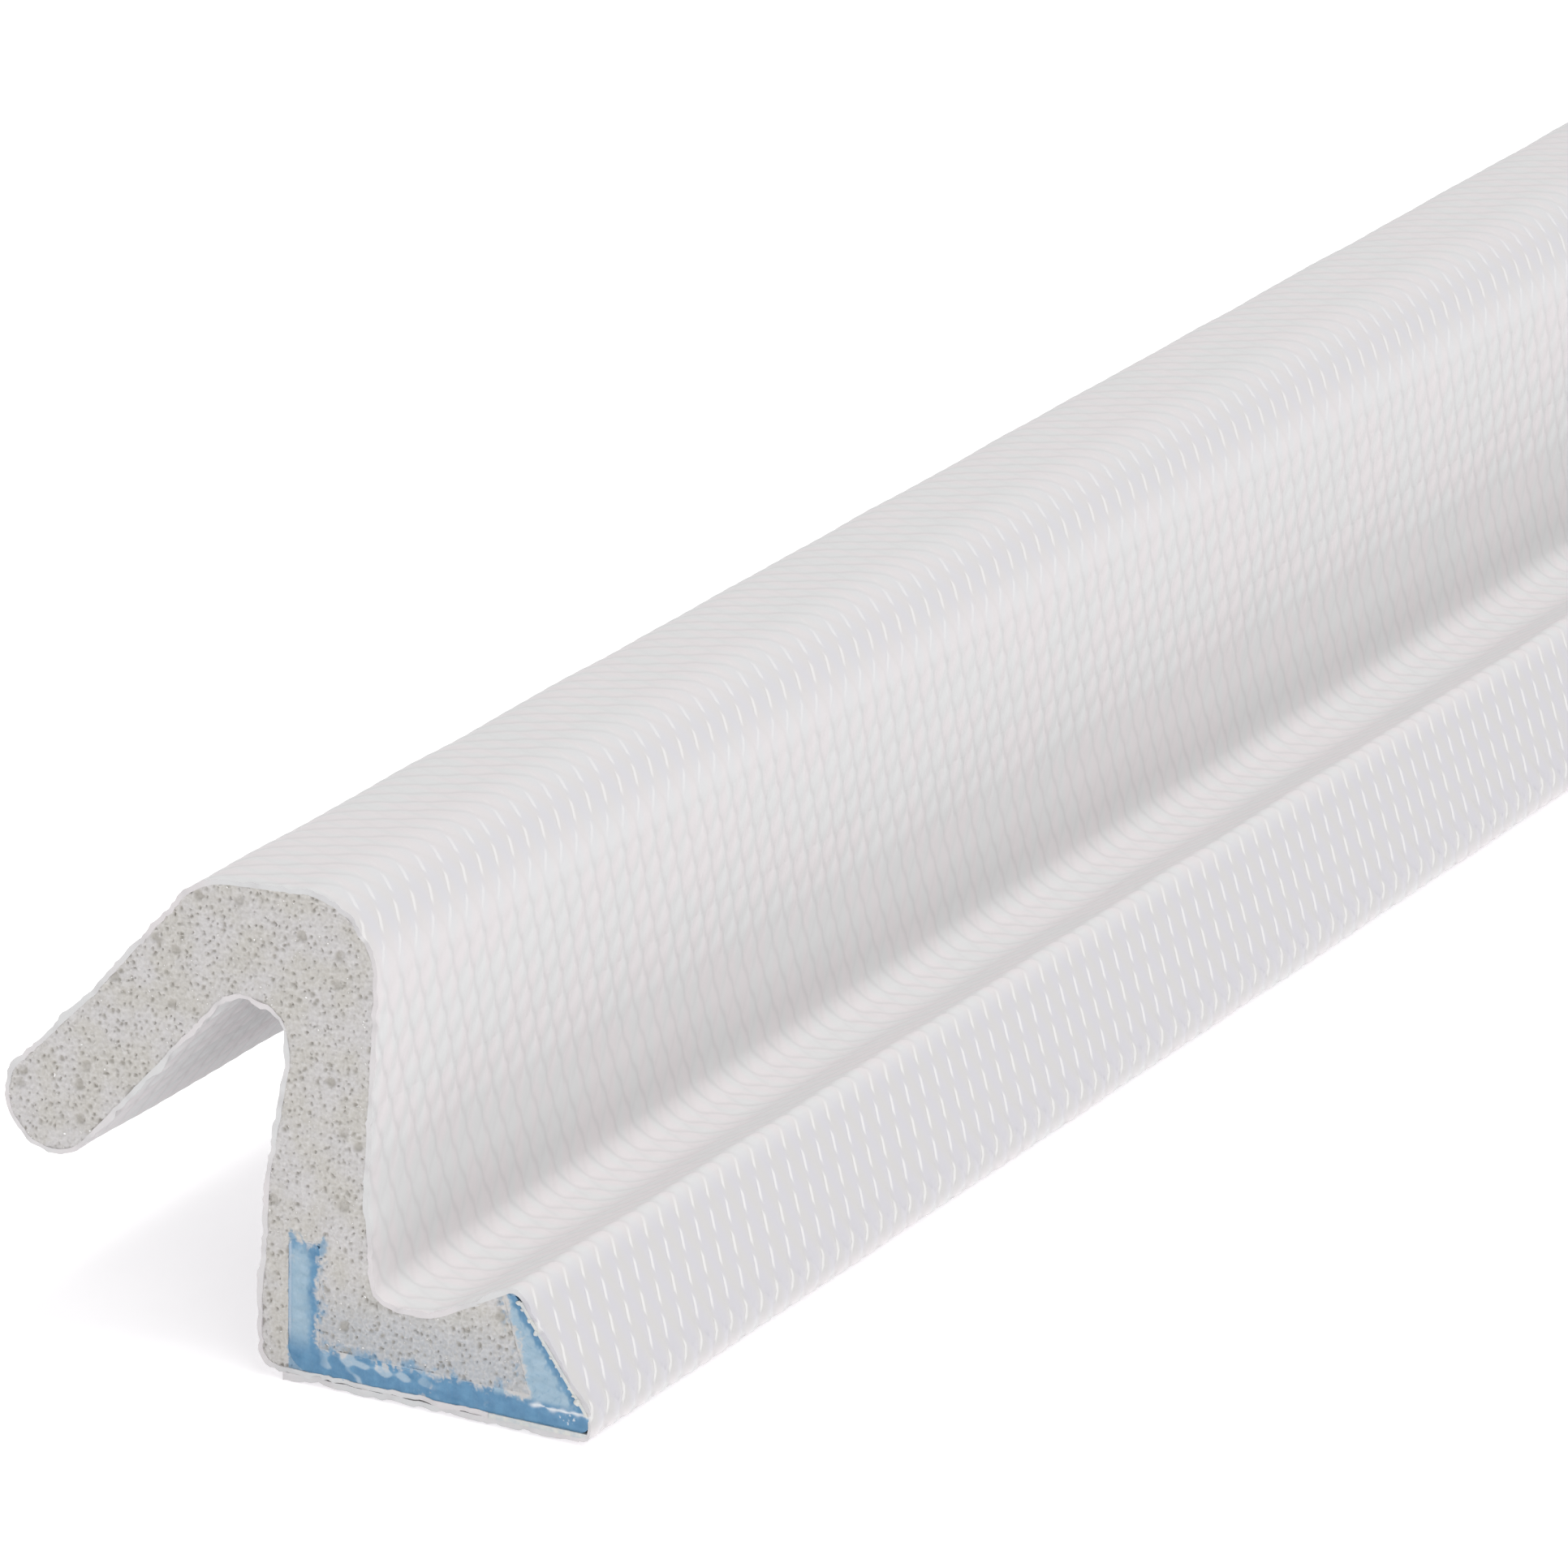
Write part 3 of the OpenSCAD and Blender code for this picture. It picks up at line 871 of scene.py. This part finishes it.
def make_bonds():
    """The bond lines keep their CAD shapes. Glue squeezed out of the flank's stands in beads at both ends."""
    bond = bond_material()
    for name in ("flank_bond", "flap_bond"):
        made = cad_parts[name]
        made.data.materials.clear()
        made.data.materials.append(bond)
    r = np.random.default_rng(12)
    outer = flank_line(FILM_T + 0.9 * BOND_T)
    points, faces = [], []
    for sign in (-1, 1):
        z = 1.25
        while z < FLANK_H - 0.5:
            centre = np.array([outer(z) - r.uniform(0, 0.05), sign * (HALF - 0.03), z])
            p, f = lump(centre, r.uniform(0.08, 0.19), int(z * 100) + sign)
            faces += [[q + len(points) for q in face] for face in f]
            points += p
            z += r.uniform(0.13, 0.38)
    beads = new_mesh("flank_glue_beads", points, faces, bond)
    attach(beads, "foot")


# ---------------------------------------------------------------- camera, light and floor
# A long lens that looks along the strip from its cut end, a little above it. Lengths are in millimetres
VIEW_AZIMUTH = math.radians(28.06)
VIEW_ELEVATION = math.radians(19.11)
VIEW_ROLL = math.radians(1.13)
VIEW_LENS = 277.45
VIEW_DISTANCE = 355.71
VIEW_AIM = (6.19, -49.81, 17.55)
SENSOR_WIDTH = 36

WORLD_STRENGTH = 0.60
LIGHT_AIM = (0, -0.03, 0)
LIGHT_COLOUR = (1, 0.985, 0.985)
FLOOR_DROP = 0.00012  # metres: clear of the film's relief
FLOOR_HALF = 3.0  # metres


def make_camera():
    """Places the camera at VIEW_DISTANCE from VIEW_AIM, a point above the strip near its cut end."""
    data = bpy.data.cameras.new("camera")
    camera = bpy.data.objects.new("camera", data)
    bpy.context.scene.collection.objects.link(camera)
    data.sensor_width = SENSOR_WIDTH
    data.lens = VIEW_LENS
    a, e = VIEW_AZIMUTH, VIEW_ELEVATION
    right = Vector((math.cos(a), math.sin(a), 0))
    up = Vector((-math.sin(a) * math.sin(e), math.cos(a) * math.sin(e), math.cos(e)))
    ahead = Vector((-math.sin(a) * math.cos(e), math.cos(a) * math.cos(e), -math.sin(e)))
    roll_right = right * math.cos(VIEW_ROLL) + up * math.sin(VIEW_ROLL)
    roll_up = -right * math.sin(VIEW_ROLL) + up * math.cos(VIEW_ROLL)
    place = (Vector(VIEW_AIM) - ahead * VIEW_DISTANCE) * MM
    turn = Matrix((roll_right, roll_up, -ahead)).transposed()
    camera.matrix_world = Matrix.Translation(place) @ turn.to_4x4()
    data.clip_start, data.clip_end = 0.01, 10
    bpy.context.scene.camera = camera


def area_light(name, place, size, power):
    """A square soft light, aimed at the strip."""
    data = bpy.data.lights.new(name, "AREA")
    data.shape = "RECTANGLE"
    data.size = data.size_y = size
    data.energy = power
    data.color = LIGHT_COLOUR
    light = bpy.data.objects.new(name, data)
    light.location = place
    light.rotation_euler = (Vector(LIGHT_AIM) - Vector(place)).to_track_quat("-Z", "Y").to_euler()
    bpy.context.scene.collection.objects.link(light)


def make_studio():
    """A white room, two soft lights and a pale floor."""
    world = bpy.data.worlds.new("studio")
    bpy.context.scene.world = world
    world.use_nodes = True
    background = world.node_tree.nodes["Background"]
    background.inputs["Color"].default_value = (1, 1, 1, 1)
    background.inputs["Strength"].default_value = WORLD_STRENGTH
    area_light("top", (0.12, 0.03, 0.62), 0.3, 1.95)
    area_light("front", (0.40, -0.30, 0.42), 0.35, 0.7)
    mesh = bpy.data.meshes.new("floor")
    r = FLOOR_HALF
    mesh.from_pydata([(-r, -r, 0), (r, -r, 0), (r, r, 0), (-r, r, 0)], [], [(0, 1, 2, 3)])
    floor = bpy.data.objects.new("floor", mesh)
    floor.location.z = -FLOOR_DROP
    mesh.materials.append(floor_material())
    bpy.context.scene.collection.objects.link(floor)
    bpy.context.scene.view_settings.view_transform = "Standard"


make_camera()
make_studio()
make_cover()
make_foam()
make_stiffener()
make_bonds()
